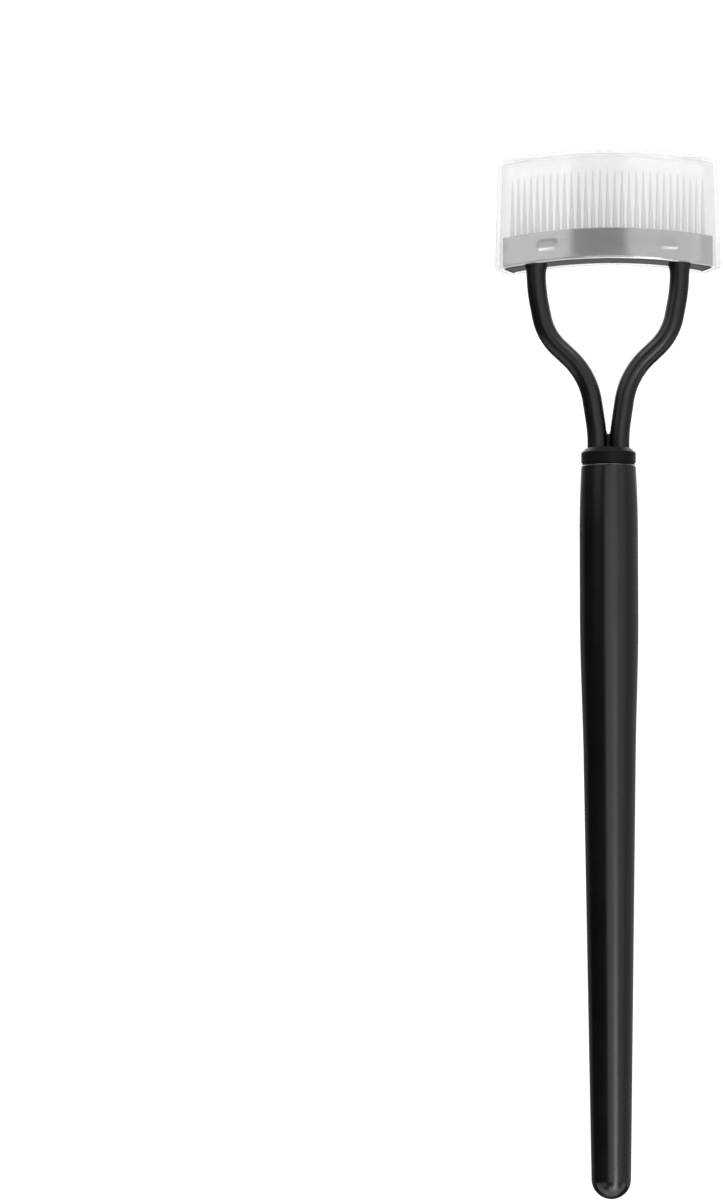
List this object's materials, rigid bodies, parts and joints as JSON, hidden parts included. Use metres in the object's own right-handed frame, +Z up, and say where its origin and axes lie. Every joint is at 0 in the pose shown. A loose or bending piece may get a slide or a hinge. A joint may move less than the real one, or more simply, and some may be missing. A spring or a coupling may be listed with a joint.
{
  "type": "eyelash comb with cap",
  "caption": "Hand-held lash comb: tapered black handle, forked wire arms and a curved steel needle head under a clear pull-off cap.",
  "frame": {"origin": "middle of the handle's straight cylindrical grip, on the handle's axis", "axes": "+Z up the handle's axis to the head, -Z to the tail, the head bulges to -Y, X across the head"},
  "size_m": [0.026, 0.0085, 0.1197],
  "materials": {
    "handle_black": "satin black",
    "collar_black": "satin black",
    "arm_black": "satin black coating on wire",
    "steel_band": "brushed",
    "needle_steel": "polished",
    "strip_black": "moulded",
    "clear_plastic": "clear, faintly milky"
  },
  "bodies": {
    "comb": {"handle": "handle_black", "collar": "collar_black", "left_arm": "arm_black", "right_arm": "arm_black", "channel": "steel_band", "needle_strip": "strip_black", "needle_01": "needle_steel", "needle_02": "needle_steel", "needle_03": "needle_steel", "needle_04": "needle_steel", "needle_05": "needle_steel", "needle_06": "needle_steel", "needle_07": "needle_steel", "needle_08": "needle_steel", "needle_09": "needle_steel", "needle_10": "needle_steel", "needle_11": "needle_steel", "needle_12": "needle_steel", "needle_13": "needle_steel", "needle_14": "needle_steel", "needle_15": "needle_steel", "needle_16": "needle_steel", "needle_17": "needle_steel", "needle_18": "needle_steel", "needle_19": "needle_steel", "needle_20": "needle_steel", "needle_21": "needle_steel", "needle_22": "needle_steel", "needle_23": "needle_steel", "needle_24": "needle_steel", "needle_25": "needle_steel", "needle_26": "needle_steel", "needle_27": "needle_steel", "needle_28": "needle_steel", "needle_29": "needle_steel"},
    "cap": {"clear_cap": "clear_plastic"}
  },
  "joints": [
    {"name": "cap_pull", "type": "slide", "parent": "comb", "child": "cap", "axis": [0, 0.1478, 0.989], "range_m": [0, 0.016]}
  ]
}
